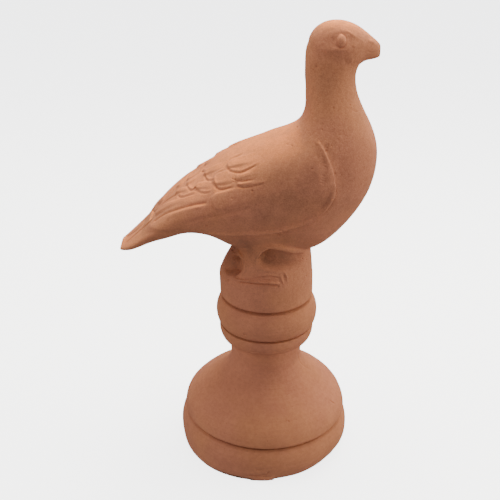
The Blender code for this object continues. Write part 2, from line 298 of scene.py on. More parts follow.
# %% Outline of the pedestal
FOOT_HEIGHT = 33 * MM
BELL_RADIUS = 75.6 * MM
BELL_HEIGHT = 58 * MM
WAIST_RADIUS = 32 * MM
WAIST_HEIGHT = 18 * MM
ECHINUS_RADIUS = 43.2 * MM
ECHINUS_HEIGHT = 18 * MM
RING_RADIUS = 45.9 * MM
RING_HEIGHT = 28.5 * MM
DRUM_RADIUS = 41.7 * MM
DRUM_HEIGHT = 44.5 * MM
CREASE_DEPTH = 3.5 * MM
CUT = 3 * MM
GAP = 2.2 * MM
HOLLOW_HEIGHT = 66 * MM
FOOT_SQUARENESS = 0.6
RING_SQUARENESS = 0.75
# In how many steps each curve is drawn
HOLLOW_STEPS = 24
FOOT_STEPS = 28
BELL_STEPS = 40
ECHINUS_STEPS = 14
RING_STEPS = 24

WAIST_Z = FOOT_HEIGHT + BELL_HEIGHT
ECHINUS_Z = WAIST_Z + WAIST_HEIGHT
RING_Z = ECHINUS_Z + ECHINUS_HEIGHT
DRUM_Z = RING_Z + RING_HEIGHT
DRUM_MIDDLE = DRUM_Z + 0.5 * DRUM_HEIGHT
PERCH_Z = DRUM_Z + DRUM_HEIGHT


def hollow_outline():
    """From the top of the hollow, on the axis, down to its mouth."""
    inside = FOOT_RADIUS - FOOT_ROUNDING - WALL
    crown = (0, HOLLOW_HEIGHT)
    pulls = (0.4 * inside, HOLLOW_HEIGHT), (inside, 0.85 * HOLLOW_HEIGHT)
    return [*bezier(crown, *pulls, (inside, FOOT_HEIGHT), HOLLOW_STEPS), (inside, 0)]


def pedestal_outline():
    """From the foot's underside up to the middle of the drum, with a cut in every crease."""
    foot_edge = FOOT_RADIUS - FOOT_ROUNDING
    foot = swell((foot_edge, 0), (foot_edge, FOOT_HEIGHT), FOOT_ROUNDING, FOOT_STEPS, FOOT_SQUARENESS)
    under_bell = [
        (foot_edge - 2 * CUT, FOOT_HEIGHT),
        (foot_edge - 2 * CUT, FOOT_HEIGHT + 0.9 * GAP),
        (foot_edge + 0.5 * CUT, FOOT_HEIGHT + 1.3 * GAP),
    ]
    bell = bezier(
        (BELL_RADIUS, FOOT_HEIGHT + 1.9 * GAP),
        (BELL_RADIUS - 0.8 * CUT, FOOT_HEIGHT + 0.48 * BELL_HEIGHT),
        (WAIST_RADIUS + CUT, FOOT_HEIGHT + 0.62 * BELL_HEIGHT),
        (WAIST_RADIUS, WAIST_Z),
        BELL_STEPS,
    )
    crease = RING_RADIUS - CREASE_DEPTH
    echinus = bezier(
        (WAIST_RADIUS + 0.3 * GAP, ECHINUS_Z - 0.2 * GAP),
        (ECHINUS_RADIUS - 1.2 * GAP, ECHINUS_Z + 0.1 * ECHINUS_HEIGHT),
        (ECHINUS_RADIUS, ECHINUS_Z + 0.5 * ECHINUS_HEIGHT),
        (crease, RING_Z - 0.45 * GAP),
        ECHINUS_STEPS,
    )
    under_ring = [(crease - 1.8 * CUT, RING_Z - 0.2 * GAP), (crease - 1.8 * CUT, RING_Z + 0.2 * GAP)]
    ring_top = (crease - 0.5 * CUT, DRUM_Z - 0.8 * GAP)
    ring_bulge = CREASE_DEPTH + 0.15 * CUT
    ring = swell((crease, RING_Z + 0.45 * GAP), ring_top, ring_bulge, RING_STEPS, RING_SQUARENESS)
    under_drum = [
        (crease - 2.5 * CUT, DRUM_Z - 0.3 * GAP),
        (crease - 2.5 * CUT, DRUM_Z + 0.3 * GAP),
        (DRUM_RADIUS - 0.2 * CUT, DRUM_Z + 0.7 * GAP),
    ]
    drum = [(DRUM_RADIUS, DRUM_Z + 1.2 * GAP), (DRUM_RADIUS, DRUM_MIDDLE)]
    return foot + under_bell + bell + echinus + under_ring + ring + under_drum + drum


outline = [*hollow_outline(), *pedestal_outline(), (0, DRUM_MIDDLE)]
print(len(outline), "points in the turned outline")

# %% [markdown]
# ## Turning it
#
# `bmesh.ops.spin` is the wheel. It sweeps the outline round the axis and, with
# `use_merge`, welds the last turn to the first. The points on the axis come out once
# for each step, so they are merged, and the faces are then made to point outwards.
#
# The real pedestal is not quite true. The bell has slipped by about 3 mm at its middle
# towards +X, the way the dove looks, and the other members by a millimetre or so, as
# soft clay does when it is lifted off the wheel.

# %% Turn the pedestal
TURN_STEPS = 180
WELD = 0.01 * MM
# Height and slip towards +X, in millimetres
LEAN = [
    (0, 0.3), (20, 0.5), (33, 0.9), (45, 1.0), (53, 2.3), (60, 3.1), (78, 3.2), (90, 1.2), (125, 0.9),
    (150, 0.9), (166, 0.3), (200, 0),
]


def turn(name, points):
    """Turn an outline that starts and ends on the Z axis."""
    bm = bmesh.new()
    line = [bm.verts.new((radius, 0, height)) for radius, height in points]
    edges = [bm.edges.new(pair) for pair in zip(line, line[1:])]
    wheel = {"cent": (0, 0, 0), "axis": (0, 0, 1), "angle": 2 * math.pi, "steps": TURN_STEPS}
    bmesh.ops.spin(bm, geom=line + edges, **wheel, use_merge=True)
    bmesh.ops.remove_doubles(bm, verts=bm.verts, dist=WELD)
    bmesh.ops.recalc_face_normals(bm, faces=bm.faces)
    return new_object(name, bm)


def lean(thing):
    """Slip every level of a turned piece a little towards +X."""
    heights, slips = np.array(LEAN).T * MM
    for vert in thing.data.vertices:
        vert.co.x += float(np.interp(vert.co.z, heights, slips))


pedestal = turn("pedestal", outline)
lean(pedestal)
print("pedestal:", len(pedestal.data.polygons), "faces")

# %% [markdown]
# ## The dove as a row of rings
#
# The dove is a soft closed form with one main direction at a time: it runs from the
# tail through the body and up the neck, and a second form runs from the back of the
# head to the beak. So each is a row of rings. A ring hangs between a point on the
# back and a point on the belly, and has one half width. Between the rings that are
# written down, a smooth curve gives many more.

# %% Side view of the dove
# In millimetres, from the middle of the drum's top:
# back x, back z, belly x, belly z, half width
BODY = [
    (-129, 3, -125, 0, 11),
    (-121, 8, -114, 3, 19),
    (-106, 22, -99, 13, 26),
    (-94, 34.5, -82, 17.5, 32),
    (-78, 53, -64, 24, 38),
    (-56, 70.5, -46, 17.5, 44),
    (-42, 81.5, -34, 9, 46),
    (-29, 90, -18, 1.5, 47.5),
    (-1, 103.5, 8, 0.5, 49),
    (22, 112, 40.5, 2, 48),
    (28, 120, 66, 25, 45),
    (30, 131, 86, 55, 39),
    (29, 140, 92, 87, 33),
    (29, 148, 88.2, 107, 28),
    (28, 154, 76.8, 128.5, 23.5),
    (28, 160, 70.5, 143, 20.5),
    (28, 167, 68.5, 156, 19),
    (28.3, 174, 70.5, 164, 19),
    (29, 180, 73, 170, 17.5),
    (31.5, 186, 70, 175, 14),
]
# x, top, bottom, half width
HEAD = [
    (30.5, 186, 173, 5),
    (32.3, 190.5, 167, 10),
    (37, 196, 160, 15.5),
    (45, 200, 157.5, 18),
    (54, 200.5, 157, 19),
    (62, 198.5, 159, 18),
    (69, 195.5, 163.5, 15.5),
    (74.5, 191.5, 168.3, 11.5),
    (80, 187.5, 169, 8.5),
    (84.5, 184, 170, 6),
    (87.5, 181, 171.5, 3.5),
]
print(len(BODY), "rings drawn for the body and", len(HEAD), "for the head")

# %% [markdown]
# ## Bridging the rings
#
# Each ring starts as `bmesh.ops.create_circle`, its points are set down on the oval,
# and `bridge_loops` joins it to the ring before. `holes_fill` closes the two ends.
# The oval is fuller above than below, where the wings fold over the back, and it grows
# squarer towards the tail, which is flat above and below.

# %% Rings and skins
RING_POINTS = 120
RINGS_BETWEEN = 10
EVENING_ROUNDS = 40
# Power of a ring's oval, what the tail adds to it, and from where and over what length
OVAL = 2.1
TAIL_SQUARER = 0.9
TAIL_START = -54
TAIL_LENGTH = 43
# How much fuller the oval is above, up to what height, and over what height that grows
FULLER_ABOVE = 0.17
FULLER_TOP = 150
FULLER_GROWS = 30


def smooth_rows(rows, between, rounds=0):
    """More rows between the given ones, on a smooth curve, evened out by rounds of averaging."""
    rows = np.array(rows, float)
    padded = np.vstack([2 * rows[0] - rows[1], rows, 2 * rows[-1] - rows[-2]])
    result = []
    for p0, p1, p2, p3 in zip(padded, padded[1:], padded[2:], padded[3:]):
        for step in range(between):
            t = step / between
            bend = (2 * p0 - 5 * p1 + 4 * p2 - p3) * t**2 + (3 * p1 - p0 - 3 * p2 + p3) * t**3
            result.append(0.5 * (2 * p1 + (p2 - p0) * t + bend))
    result.append(rows[-1])
    result = np.array(result)
    for _ in range(rounds):
        result[1:-1] = 0.25 * result[:-2] + 0.5 * result[1:-1] + 0.25 * result[2:]
    return result


def round_angles(count=RING_POINTS):
    """The angles of the points round a ring."""
    return [2 * math.pi * i / count for i in range(count)]


def flattened(value, power):
    """A sine or cosine drawn out towards a square corner."""
    return math.copysign(abs(value) ** (2 / power), value)


def dove_rings(stations):
    """Rings hung between the back and the belly, fuller above than below and flatter at the tail."""
    rings = []
    for row in smooth_rows(stations, RINGS_BETWEEN, EVENING_ROUNDS):
        back_x, back_z, belly_x, belly_z, half_width = row
        square = OVAL + TAIL_SQUARER * min(max((TAIL_START - back_x) / TAIL_LENGTH, 0), 1)
        fuller = FULLER_ABOVE * min(max((FULLER_TOP - back_z) / FULLER_GROWS, 0), 1)
        ring = []
        for angle in round_angles():
            up = flattened(math.cos(angle), square)
            side = flattened(math.sin(angle), square) * (1 + fuller * up)
            x = 0.5 * (back_x + belly_x + (back_x - belly_x) * up)
            z = 0.5 * (back_z + belly_z + (back_z - belly_z) * up)
            ring.append((x * MM, half_width * side * MM, PERCH_Z + z * MM))
        rings.append(ring)
    return rings


def skin(name, rings):
    """A closed skin over a row of rings, each a list of points."""
    bm = bmesh.new()
    loops = []
    for points in rings:
        circle = bmesh.ops.create_circle(bm, segments=len(points), radius=1)["verts"]
        for vert, point in zip(circle, points):
            vert.co = point
        loops.append(list({edge for vert in circle for edge in vert.link_edges}))
    for lower, upper in zip(loops, loops[1:]):
        bmesh.ops.bridge_loops(bm, edges=lower + upper)
    bmesh.ops.holes_fill(bm, edges=[edge for edge in bm.edges if edge.is_boundary], sides=0)
    bmesh.ops.recalc_face_normals(bm, faces=bm.faces)
    return new_object(name, bm)


body = skin("body", dove_rings(BODY))
head = skin("head", dove_rings([(x, top, x, bottom, half) for x, top, bottom, half in HEAD]))
print("body:", len(body.data.polygons), "faces, head:", len(head.data.polygons))

# %% [markdown]
# ## The clay between the drum and the belly
#
# The drum does not end under the dove. Its side runs on up into the belly, a little
# drawn in at the sides and the front and more towards the tail. The legs are later
# left standing between two scoops cut out of this collar.

# %% Collar
SHOULDER_DROP = 26 * MM
COLLAR_RISE = 26 * MM
COLLAR_STEP = 1 * MM
COLLAR_Z = DRUM_Z + 0.4 * DRUM_HEIGHT
# How far the collar is drawn in at the height of the drum's top
TUCK_FRONT = 2.4 * MM
TUCK_SIDE = 1.5 * MM
TUCK_BACK = 11.5 * MM
TUCK_CURVE = 1.5


def collar_radius(angle, height):
    """Radius of the collar in one direction at a height above the foot."""
    front = max(math.cos(angle), 0) ** 2
    back = max(-math.cos(angle), 0) ** 2
    tuck = TUCK_SIDE + (TUCK_FRONT - TUCK_SIDE) * front + (TUCK_BACK - TUCK_SIDE) * back
    rise = max(height - PERCH_Z + SHOULDER_DROP, 0) / SHOULDER_DROP
    return DRUM_RADIUS - tuck * rise**TUCK_CURVE


def collar_rings():
    """Level rings from the middle of the drum up into the belly."""
    count = round((PERCH_Z + COLLAR_RISE - COLLAR_Z) / COLLAR_STEP)
    rings = []
    for i in range(count + 1):
        height = COLLAR_Z + i * COLLAR_STEP
        ring = []
        for angle in round_angles(2 * RING_POINTS):
            radius = collar_radius(angle, height)
            ring.append((radius * math.cos(angle), radius * math.sin(angle), height))
        rings.append(ring)
    return rings


collar = skin("collar", collar_rings())
print("collar:", len(collar.data.polygons), "faces")

# %% [markdown]
# ## Luting the clay together
#
# The skins overlap, as lumps of wet clay do before a thumb smooths the joins away. A
# voxel Remesh does what the thumb does: it keeps only the outside of the whole and
# covers it with small even squares, and a few rounds of Smooth soften every join.
# The pedestal is turned apart and set under the dove later, so its creases stay sharp.

# %% Fuse the dove to its collar
DOVE_VOXEL = 0.9 * MM
DOVE_SMOOTHING = 8


def join(name, things):
    """One object from several that overlap."""
    bm = bmesh.new()
    for thing in things:
        bm.from_mesh(thing.data)
        bpy.data.objects.remove(thing)
    return new_object(name, bm)


def bake(thing):
    """Keep an object's modified mesh and drop the modifiers."""
    graph = bpy.context.evaluated_depsgraph_get()
    mesh = bpy.data.meshes.new_from_object(thing.evaluated_get(graph))
    thing.modifiers.clear()
    thing.data = mesh


def fuse(thing, voxel, rounds):
    """Keep the outside of overlapping skins, and soften it."""
    remesh = thing.modifiers.new("Fuse", "REMESH")
    remesh.mode = "VOXEL"
    remesh.voxel_size = voxel
    soften = thing.modifiers.new("Soften", "SMOOTH")
    soften.factor = 0.5
    soften.iterations = rounds
    bake(thing)


dove = join("dove", [body, head, collar])
fuse(dove, DOVE_VOXEL, DOVE_SMOOTHING)
print("fused dove:", len(dove.data.polygons), "faces")

# %% [markdown]
# ## Drawing on the clay
#
# A carver draws on the form before cutting. Here the drawing is read off the
# photograph, in its pixels, and thrown onto the clay along the eye's own rays, so each
# line lies on the surface and not in front of it. Both sides of the dove are carved
# alike, so a point of the far side is looked up by its mirror image.

# %% Throw pixels onto the clay
PHOTO_SIDE = 500
PIXELS_DEEP = eye_data.lens / eye_data.sensor_width * PHOTO_SIDE


def surface_of(thing):
    """A search tree of an object's faces."""
    return BVHTree.FromObject(thing, bpy.context.evaluated_depsgraph_get())


def on_clay(surface, pixels):
    """Places on a surface that the eye sees at some pixels, measured from the pedestal's axis."""
    start = eye.matrix_world.translation - Vector((AXIS_X, 0, 0))
    places = []
    for across, down in pixels:
        ray = (across - 0.5 * PHOTO_SIDE) * rolled_right + (0.5 * PHOTO_SIDE - down) * rolled_up
        ray -= PIXELS_DEEP * eye_back
        place = surface.ray_cast(start, ray.normalized())[0]
        if place is not None:
            places.append(place)
    return np.array(places)


def ramp(values):
    """A smooth step from 0 to 1."""
    t = np.clip(values, 0, 1)
    return t * t * (3 - 2 * t)


def soft_bell(gap, width):
    """A bell curve: 1 in the middle, and about a third at the width."""
    return np.exp(-((gap / width) ** 2))


def read_skin(mesh):
    """Place and normal of every vertex of a mesh, as two arrays."""
    places = np.empty((len(mesh.vertices), 3))
    normals = np.empty((len(mesh.vertices), 3))
    mesh.vertices.foreach_get("co", places.ravel())
    mesh.vertex_normals.foreach_get("vector", normals.ravel())
    return places, normals


def move_to(mesh, places):
    """Set every vertex of a mesh in its new place."""
    mesh.vertices.foreach_set("co", places.ravel())
    mesh.update()


def draw_in(places, amount):
    """Move places towards the pedestal's axis."""
    radius = np.maximum(np.hypot(places[:, 0], places[:, 1]), MM)
    places[:, :2] -= amount[:, None] * places[:, :2] / radius[:, None]


dove_surface = surface_of(dove)
print("the eye meets the breast at", [round(v, 4) for v in on_clay(dove_surface, [(350, 180)])[0]])

# %% [markdown]
# ## The legs
#
# The dove's legs are not free. On each side two scoops are cut out of the collar, one
# behind the leg and a larger one before it, and the thigh and the shank are what is
# left between them. A scoop is crisp where it meets the leg and the belly, and it
# runs out softly below.

# %% Scoops beside the legs
# Each pair is a pixel of the photograph
REAR_SCOOP_EDGE = [
    (229, 250.5), (233, 252.5), (237, 255.5), (240.5, 258.5), (243, 262), (243.6, 266), (242.8, 270.5),
    (240.5, 274), (237, 276.3), (232.5, 277.3),
]
REAR_SCOOP_END = [
    (232.5, 277.3), (227.5, 276), (224, 271), (222.8, 265), (223.5, 259), (226, 253.5), (229, 250.5),
]
FRONT_SCOOP_EDGE = [
    (254.5, 261.5), (256.3, 258.2), (259, 255.2), (262, 252.4), (266, 250), (270, 249), (276, 250),
    (283, 251.2), (290, 252.8), (296, 253.5), (302, 252.5), (308, 251),
]
FRONT_SCOOP_END = [
    (308, 251), (307, 258), (303, 264), (296, 268.5), (288, 271.5), (278, 272.5), (268, 272),
    (260.5, 269.5), (256, 266), (254.5, 261.5),
]
# Depth, how far it takes to run out below, and how far from the leg it has grown shallow
REAR_SCOOP = (8 * MM, 4.5 * MM, 90 * MM)
FRONT_SCOOP = (13 * MM, 9 * MM, 66 * MM)
SCOOP_CRISP = 1.5 * MM
# The middle of the collar, between the two legs, isn't cut
SCOOP_FROM = 0.3 * DRUM_RADIUS
TINY = 1e-12


def gap_to(x, z, line):
    """Distance from side-view points to an open line."""
    nearest = np.full(len(x), np.inf)
    for (x0, z0), (x1, z1) in zip(line, line[1:]):
        dx = x1 - x0
        dz = z1 - z0
        along = np.clip(((x - x0) * dx + (z - z0) * dz) / max(dx * dx + dz * dz, TINY), 0, 1)
        nearest = np.minimum(nearest, np.hypot(x - x0 - along * dx, z - z0 - along * dz))
    return nearest


def within(x, z, loop):
    """True for side-view points inside a closed loop."""
    inside = np.zeros(len(x), bool)
    for (x0, z0), (x1, z1) in zip(loop, loop[1:] + loop[:1]):
        if z0 != z1:
            crossing = (z0 > z) != (z1 > z)
            inside ^= crossing & (x < (x1 - x0) * (z - z0) / (z1 - z0) + x0)
    return inside


def side_view(places):
    """The x and z of places, as pairs."""
    return [(float(x), float(z)) for x, _, z in places]


def scoop(x, z, edge, end, depth, soft, shallow):
    """Depth of a hollow, crisp at its edge, running out at its end and shallow away from the leg."""
    leg = on_clay(dove_surface, edge[:1])[0]
    edge = side_view(on_clay(dove_surface, edge))
    end = side_view(on_clay(dove_surface, end))
    hollow = ramp(gap_to(x, z, edge) / SCOOP_CRISP) * ramp(gap_to(x, z, end) / soft)
    hollow *= 1 - ramp(np.abs(x - leg[0]) / shallow)
    return depth * hollow * within(x, z, edge + end)


def cut_scoops(mesh):
    """Cut the scoops towards the axis, on both sides."""
    places = read_skin(mesh)[0]
    x, y, z = places.T
    depth = scoop(x, z, REAR_SCOOP_EDGE, REAR_SCOOP_END, *REAR_SCOOP)
    depth += scoop(x, z, FRONT_SCOOP_EDGE, FRONT_SCOOP_END, *FRONT_SCOOP)
    depth *= np.abs(y) > SCOOP_FROM
    draw_in(places, depth)
    move_to(mesh, places)
    print("scoops cut to", round(depth.max() / MM, 1), "mm")


cut_scoops(dove.data)

# %% [markdown]
# ## The folded wing
#
# The wing is a thin plate laid on the body. Its lower edge stands proud and is
# rounded over, and towards the shoulder it dies into the breast. Behind the edge the
# plate sinks a little, and before it a thumb has pressed a long shallow valley that
# sets the wing off from the breast.

# %% Wing
WING_RELIEF = 2.2 * MM
VALLEY_DEPTH = 1.7 * MM
VALLEY_WIDTH = 9 * MM
VALLEY = [(327, 142), (332, 152), (336.5, 163), (339.5, 174), (340.5, 184), (339, 194), (335, 203)]
VALLEY_ENDS = 22 * MM
WING_LINE = [
    (306, 126), (312, 133.5), (317, 141), (321, 147.5), (324.3, 154.5), (327.3, 162), (330, 169.3),
    (331.6, 175.5), (332.4, 182), (332.3, 188.5), (331.4, 195), (329.5, 200.8), (326.3, 206),
    (321.5, 211.2), (316, 216), (310, 220.2), (303, 223.4), (294, 226.4), (285, 228.7), (276, 230.8),
    (265, 232.2), (250, 233.3), (236, 234.3), (222, 234), (208, 232.5), (196, 230), (184, 228.5),
    (172, 229.5), (160, 231), (150, 231), (144, 229.5), (140, 226),
]
# The edge's rounding, how far outside the line it starts, and how far in the plate sinks
WING_ROUNDING = 2.6 * MM
WING_OUTSIDE = 1.0 * MM
WING_SINKS = 13 * MM
# Share of the relief that the whole plate has, and what its edge has besides
PLATE_SHARE = 0.45
EDGE_SHARE = 0.55
# Where the plate begins to die into the shoulder, and over what length
SHOULDER_X = -4 * MM
SHOULDER_HEIGHT = 91 * MM
SHOULDER_FADE = (22 * MM, 26 * MM)
# The plate's outline is closed this far behind the line's upper end, and above everything
CLOSED_BEHIND = 0.02
CLOSED_ABOVE = 1


def smooth_line(points, between=4):
    """More points on a smooth curve through the given ones."""
    return [tuple(map(float, point)) for point in smooth_rows(points, between)]


def wing_height(x, z):
    """Raised plate of the folded wing, highest at its lower edge and lost at the shoulder."""
    edge = side_view(on_clay(dove_surface, smooth_line(WING_LINE)))
    behind = edge[0][0] - CLOSED_BEHIND
    corner_above = [(edge[-1][0], CLOSED_ABOVE), (behind, CLOSED_ABOVE), (behind, edge[0][1])]
    gap = gap_to(x, z, edge)
    inside = np.where(within(x, z, edge + corner_above), gap, -gap)
    rounded = ramp((inside + WING_OUTSIDE) / WING_ROUNDING)
    up = ramp((z - PERCH_Z - SHOULDER_HEIGHT) / SHOULDER_FADE[1])
    fade = 1 - up * ramp((x - SHOULDER_X) / SHOULDER_FADE[0])
    edge_share = EDGE_SHARE * np.exp(-np.clip(inside, 0, None) / WING_SINKS)
    return rounded * (PLATE_SHARE + edge_share) * fade


print(len(WING_LINE), "points along the wing's edge")

# %% [markdown]
# ## Covert feathers
#
# A few short feathers lie over the wing like tiles. Each is a soft pad that stands
# highest at its round tip and sinks into the wing towards its root. They are laid
# from the rear forward, so each covers the ones before it.

# %% Pads of the covert feathers
PAD_RELIEF = 1.5 * MM
PAD_ROUNDING = 2.4 * MM
PAD_OUTSIDE = 0.3 * MM
# What a pad leaves of the height of those that it covers
PAD_COVERS = 0.5
# Height above the drum from which wings and feathers are laid on
WING_FROM = 21 * MM
# Tip and root in the photograph's pixels, and half width
COVERTS = [
    ((158, 214), (206, 198), 6.0 * MM),
    ((211, 204), (262, 190), 7.5 * MM),
    ((177, 193.5), (198, 187), 3.8 * MM),
    ((186.5, 186), (202, 174), 4.6 * MM),
    ((195, 188), (217, 184), 4.6 * MM),
    ((204, 175), (230, 163), 5.2 * MM),
    ((212.6, 181.5), (243, 174), 7.2 * MM),
    ((237, 185.3), (262, 181.5), 2.0 * MM),
    ((235.5, 179.5), (262, 171), 3.0 * MM),
    ((226.8, 166.5), (262, 156), 6.2 * MM),
]


def near_side(places):
    """Places turned over to the side that the eye sees."""
    return places * np.where(places[:, 1:2] > 0, (1, -1, 1), (1, 1, 1))


def pad_height(places):
    """Covert feathers, each rising to its round tip and laid over the ones before it."""
    height = np.zeros(len(places))
    for tip, root, half_width in COVERTS:
        start, end = on_clay(dove_surface, [tip, root])
        way = end - start
        length = np.linalg.norm(way)
        along = np.clip((places - start) @ way / length, half_width, length)
        gap = np.linalg.norm(places - start - along[:, None] * way / length, axis=1)
        inside = half_width - gap
        lift = ramp((inside + PAD_OUTSIDE) / PAD_ROUNDING) * (1 - ramp(along / length))
        height = np.where(inside > -PAD_OUTSIDE, PAD_COVERS * height + lift, height)
    return height


def valley_depth(x, z):
    """The long hollow between the wing and the breast, deepest in its middle."""
    line = side_view(on_clay(dove_surface, smooth_line(VALLEY)))
    to_ends = [np.hypot(x - end_x, z - end_z) for end_x, end_z in (line[0], line[-1])]
    return soft_bell(gap_to(x, z, line), VALLEY_WIDTH) * ramp(np.minimum(*to_ends) / VALLEY_ENDS)


def raise_wings(mesh):
    """Lay the wing plates and their covert feathers on the body."""
    places, normals = read_skin(mesh)
    height = WING_RELIEF * wing_height(places[:, 0], places[:, 2])
    height += PAD_RELIEF * pad_height(near_side(places))
    height -= VALLEY_DEPTH * valley_depth(places[:, 0], places[:, 2])
    height *= places[:, 2] > PERCH_Z + WING_FROM
    move_to(mesh, places + normals * height[:, None])
    print("wings stand", round(height.max() / MM, 2), "mm proud")


print(len(COVERTS), "covert feathers on each wing")
raise_wings(dove.data)

# %% [markdown]
# ## The dove on its pedestal
#
# Now the turned pedestal goes under the dove, and the two are fused once more. This
# time the squares are about half a millimetre wide, fine enough for a feather's cut.

# %% Fuse the whole finial finely
FINE_VOXEL = 0.55 * MM
FINE_SMOOTHING = 2

finial = join("dove_finial_clay", [dove, pedestal])
fuse(finial, FINE_VOXEL, FINE_SMOOTHING)
clay_surface = surface_of(finial)
print("fused clay:", len(finial.data.polygons), "faces")

# %% [markdown]
# ## Marks
#
# Everything finer is a mark: a line with a height and a width. A cut has a height
# below zero and a bead one above it. A mark swells along its middle, where the tool
# was pressed, and its section is a soft bell curve. Marks of the dove's form go on
# both sides, and the accidents of one side only where the photograph shows them.

# %% Marks along lines
# Share of a mark's height that is left at its ends, and what its middle has besides
MARK_ENDS = 0.15
MARK_MIDDLE = 0.85


def spot(pixel):
    """The place on the clay that the eye sees at one pixel."""
    return on_clay(clay_surface, [pixel])[0]


def gap_in_space(places, line):
    """Distance from places to a line, and to the nearer of its ends."""
    nearest = np.full(len(places), np.inf)
    for start, end in zip(line, line[1:]):
        way = end - start
        along = np.clip((places - start) @ way / max(way @ way, TINY), 0, 1)
        nearest = np.minimum(nearest, np.linalg.norm(places - start - along[:, None] * way, axis=1))
    to_ends = [np.linalg.norm(places - end, axis=1) for end in (line[0], line[-1])]
    return nearest, np.minimum(*to_ends)


def mark(height, places, pixels, rise, width, taper=3 * MM):
    """Add one mark to the heights: rise at its middle, and width from there to a third of it."""
    line = on_clay(clay_surface, smooth_line(pixels) if len(pixels) > 2 else pixels)
    reach = 3 * width
    close = np.all((places > line.min(axis=0) - reach) & (places < line.max(axis=0) + reach), axis=1)
    near = np.nonzero(close)[0]
    gap, to_end = gap_in_space(places[near], line)
    swelling = MARK_ENDS + MARK_MIDDLE * ramp(to_end / max(taper, 2 * width))
    height[near] += rise * soft_bell(gap, width) * swelling


# Each mark: pixels, rise and width in millimetres
WING_MARKS = [
    (WING_LINE[2:-7], 1.6, 1.5),
    (WING_LINE[8:22], 1.1, 1.3),
    ([(331.5, 199), (328.5, 205), (323.5, 211), (317, 216.5), (309, 222), (300, 226), (288, 230), (276, 233),
      (262, 235.2), (248, 236.5)], -1.1, 1.7),
    ([(316, 150), (321, 160), (324, 170), (325, 180), (324, 190)], -0.5, 3.0),
    ([(208, 202.5), (200, 203.8), (192, 205.3), (184, 207.3), (176, 209.7), (168, 212.3), (162, 215.3),
      (157, 219), (153, 222.5)], -1.0, 1.4),
    ([(205, 206.5), (195, 208.2), (185, 210.7), (175, 214), (166, 218.5)], 0.45, 1.8),
    ([(176.3, 194.2), (170, 198), (164, 202.3), (159, 206.5), (155, 211), (152, 215.5), (150, 220)],
     -1.0, 1.3),
    ([(153, 218.5), (147.5, 223.8), (141.5, 229), (135, 234.3), (129, 239.5), (123.5, 243.8)], -1.2, 1.2),
    ([(252, 207.5), (240, 210.8), (230, 213.2), (220, 215.4), (210, 217.6), (200, 219.6), (191, 221.6),
      (184, 224.6)], -0.8, 1.7),
]
FEATHER_CUTS = [
    ([(228, 161.8), (230.5, 160), (234, 158), (238, 156.3), (243, 153.5)], -0.7, 0.9),
    ([(226.8, 167.5), (229, 170.7), (233, 172.2), (239, 173), (243, 171.8), (248, 169.8), (257, 165)],
     -0.95, 1.0),
    ([(212.6, 182), (213, 178.5), (215, 175.3), (217.5, 173.2), (220.5, 171.7), (224, 170.3)], -0.5, 0.8),
    ([(213, 181), (214, 184.5), (215.5, 187.5), (218.5, 189.6), (222, 189.9), (226, 189.1), (232, 187.7)],
     -0.85, 1.0),
    ([(235, 179.5), (236.5, 176.8), (239, 174.8)], -0.4, 0.8),
    ([(238.5, 182.8), (243, 181.8), (248, 180.8), (254, 179.8)], -0.45, 0.7),
    ([(237, 184.6), (238.5, 186.8), (243, 187.9), (248, 187.4), (255, 186), (265, 183.5)], -0.65, 0.85),
    ([(204.3, 174), (204.8, 177.5), (206.5, 180.3), (209.5, 181), (213, 179.8)], -0.7, 0.85),
    ([(198.8, 171.5), (201.5, 171.9), (204.8, 171.9)], -0.8, 0.7),
    ([(186.3, 184.8), (187.5, 188), (189.8, 190.3), (192.2, 190.2), (195, 187.8), (197, 185)], -0.65, 0.85),
    ([(196.5, 190.5), (200, 192.8), (206, 193.6), (211, 192)], -0.5, 1.0),
    ([(177.5, 195.8), (180, 197.4), (183.5, 197.3), (188, 195.8), (195, 194)], -0.65, 0.85),
    ([(211.2, 206), (211.2, 200.5), (213, 196.5), (215.5, 192.8)], -0.55, 0.95),
]
# A cut throws up a soft lip on the feather's own side
LIP_SHIFT = (1.2, -2.3)
LIP = (0.35, 1.1)
CUT_SHARE = 0.7

for pixels, depth, width in FEATHER_CUTS:
    lip = [(across + LIP_SHIFT[0], down + LIP_SHIFT[1]) for across, down in pixels]
    WING_MARKS += [(pixels, CUT_SHARE * depth, width), (lip, *LIP)]
print(len(WING_MARKS), "marks on each wing")

# %% [markdown]
# ## The face
#
# A dove's face in clay is little: a round eye, a thumbed hollow before and above it, a
# soft lid and cheek below, a fold in front and the swelling over the beak.

# %% Face
DOVE_EYE = (341.5, 41.0)
DOVE_EYE_HALF = (3.6 * MM, 4.5 * MM)
DOVE_EYE_RELIEF = 1.9 * MM
